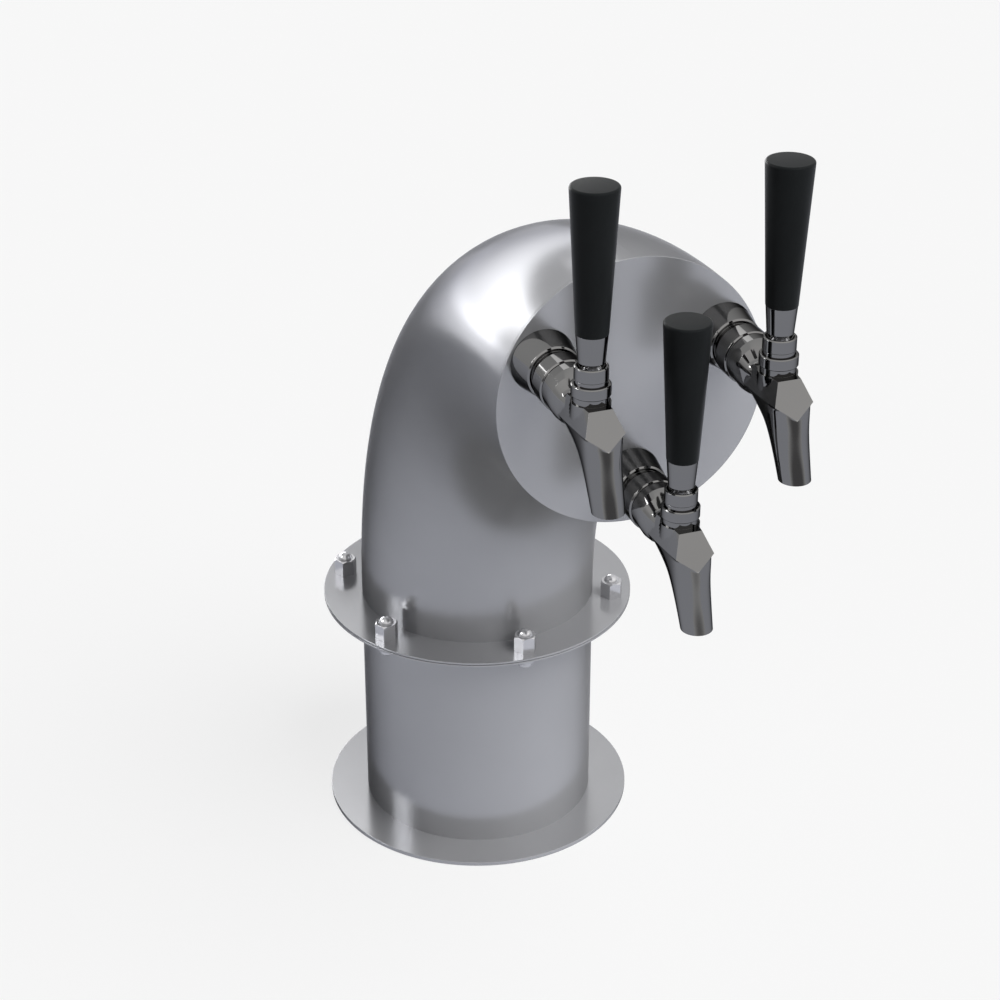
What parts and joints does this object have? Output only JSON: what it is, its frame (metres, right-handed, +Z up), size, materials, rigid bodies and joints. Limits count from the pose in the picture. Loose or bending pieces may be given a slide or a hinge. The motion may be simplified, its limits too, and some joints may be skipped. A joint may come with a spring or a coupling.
{
  "type": "draft beer tower",
  "caption": "Draft beer tower: a bolted stainless pipe column with a swept elbow and a round face plate carrying forward-sealing taps with black tapered handles.",
  "frame": {"origin": "centre of the base flange's underside, on the counter", "axes": "+Z up along the column; the face plate and the taps look along -Y; +X points to the right in a view of the taps from the front"},
  "size_m": [0.2234, 0.4901, 0.603],
  "materials": {
    "satin_steel": "satin",
    "bright_steel": "bright",
    "chrome_plate": "polished",
    "black_handle": "matte",
    "seal_rubber": "matte",
    "line_vinyl": "clear"
  },
  "bodies": {
    "tower": {"base_flange": "satin_steel", "riser_tube": "satin_steel", "riser_top_flange": "satin_steel", "flange_gasket": "seal_rubber", "elbow_flange": "satin_steel", "elbow_shell": "satin_steel", "face_plate": "satin_steel", "flange_studs": "bright_steel", "acorn_nuts": "bright_steel", "jam_nuts": "bright_steel", "shank_washers": "bright_steel", "shank_locknuts": "bright_steel", "inlet_washers": "seal_rubber", "pivot_seals": "seal_rubber", "tail_washers": "seal_rubber", "tail_nuts": "bright_steel", "hose_clamps": "bright_steel", "line_fittings": "bright_steel", "left_collar": "chrome_plate", "left_shank": "bright_steel", "left_coupling_nut": "chrome_plate", "left_faucet_body": "chrome_plate", "left_bonnet": "chrome_plate", "left_lever_cap": "chrome_plate", "left_tailpiece": "bright_steel", "left_beer_line": "line_vinyl", "right_collar": "chrome_plate", "right_shank": "bright_steel", "right_coupling_nut": "chrome_plate", "right_faucet_body": "chrome_plate", "right_bonnet": "chrome_plate", "right_lever_cap": "chrome_plate", "right_tailpiece": "bright_steel", "right_beer_line": "line_vinyl", "lower_collar": "chrome_plate", "lower_shank": "bright_steel", "lower_coupling_nut": "chrome_plate", "lower_faucet_body": "chrome_plate", "lower_bonnet": "chrome_plate", "lower_lever_cap": "chrome_plate", "lower_tailpiece": "bright_steel", "lower_beer_line": "line_vinyl"},
    "left_lever_body": {"left_lever": "bright_steel", "left_ferrule": "chrome_plate", "left_handle": "black_handle"},
    "left_plunger_body": {"left_valve_plunger": "bright_steel", "left_plunger_seal": "seal_rubber"},
    "right_lever_body": {"right_lever": "bright_steel", "right_ferrule": "chrome_plate", "right_handle": "black_handle"},
    "right_plunger_body": {"right_valve_plunger": "bright_steel", "right_plunger_seal": "seal_rubber"},
    "lower_lever_body": {"lower_lever": "bright_steel", "lower_ferrule": "chrome_plate", "lower_handle": "black_handle"},
    "lower_plunger_body": {"lower_valve_plunger": "bright_steel", "lower_plunger_seal": "seal_rubber"}
  },
  "joints": [
    {"name": "left_lever_hinge", "type": "hinge", "parent": "tower", "child": "left_lever_body", "pos_m": [-0.05615, -0.3417, 0.49273], "axis": [1, 0, 0], "range_deg": [0, 24]},
    {"name": "left_plunger_slide", "type": "slide", "parent": "tower", "child": "left_plunger_body", "axis": [0, 1, 0], "range_m": [0, 0.0088]},
    {"name": "right_lever_hinge", "type": "hinge", "parent": "tower", "child": "right_lever_body", "pos_m": [0.05615, -0.3417, 0.49273], "axis": [1, 0, 0], "range_deg": [0, 24]},
    {"name": "right_plunger_slide", "type": "slide", "parent": "tower", "child": "right_plunger_body", "axis": [0, 1, 0], "range_m": [0, 0.0088]},
    {"name": "lower_lever_hinge", "type": "hinge", "parent": "tower", "child": "lower_lever_body", "pos_m": [0, -0.3417, 0.408], "axis": [1, 0, 0], "range_deg": [0, 24]},
    {"name": "lower_plunger_slide", "type": "slide", "parent": "tower", "child": "lower_plunger_body", "axis": [0, 1, 0], "range_m": [0, 0.0088]}
  ],
  "couplings": [
    {"joint": "left_plunger_slide", "follows": "left_lever_hinge", "m_per_rad": 0.021},
    {"joint": "right_plunger_slide", "follows": "right_lever_hinge", "m_per_rad": 0.021},
    {"joint": "lower_plunger_slide", "follows": "lower_lever_hinge", "m_per_rad": 0.021}
  ]
}
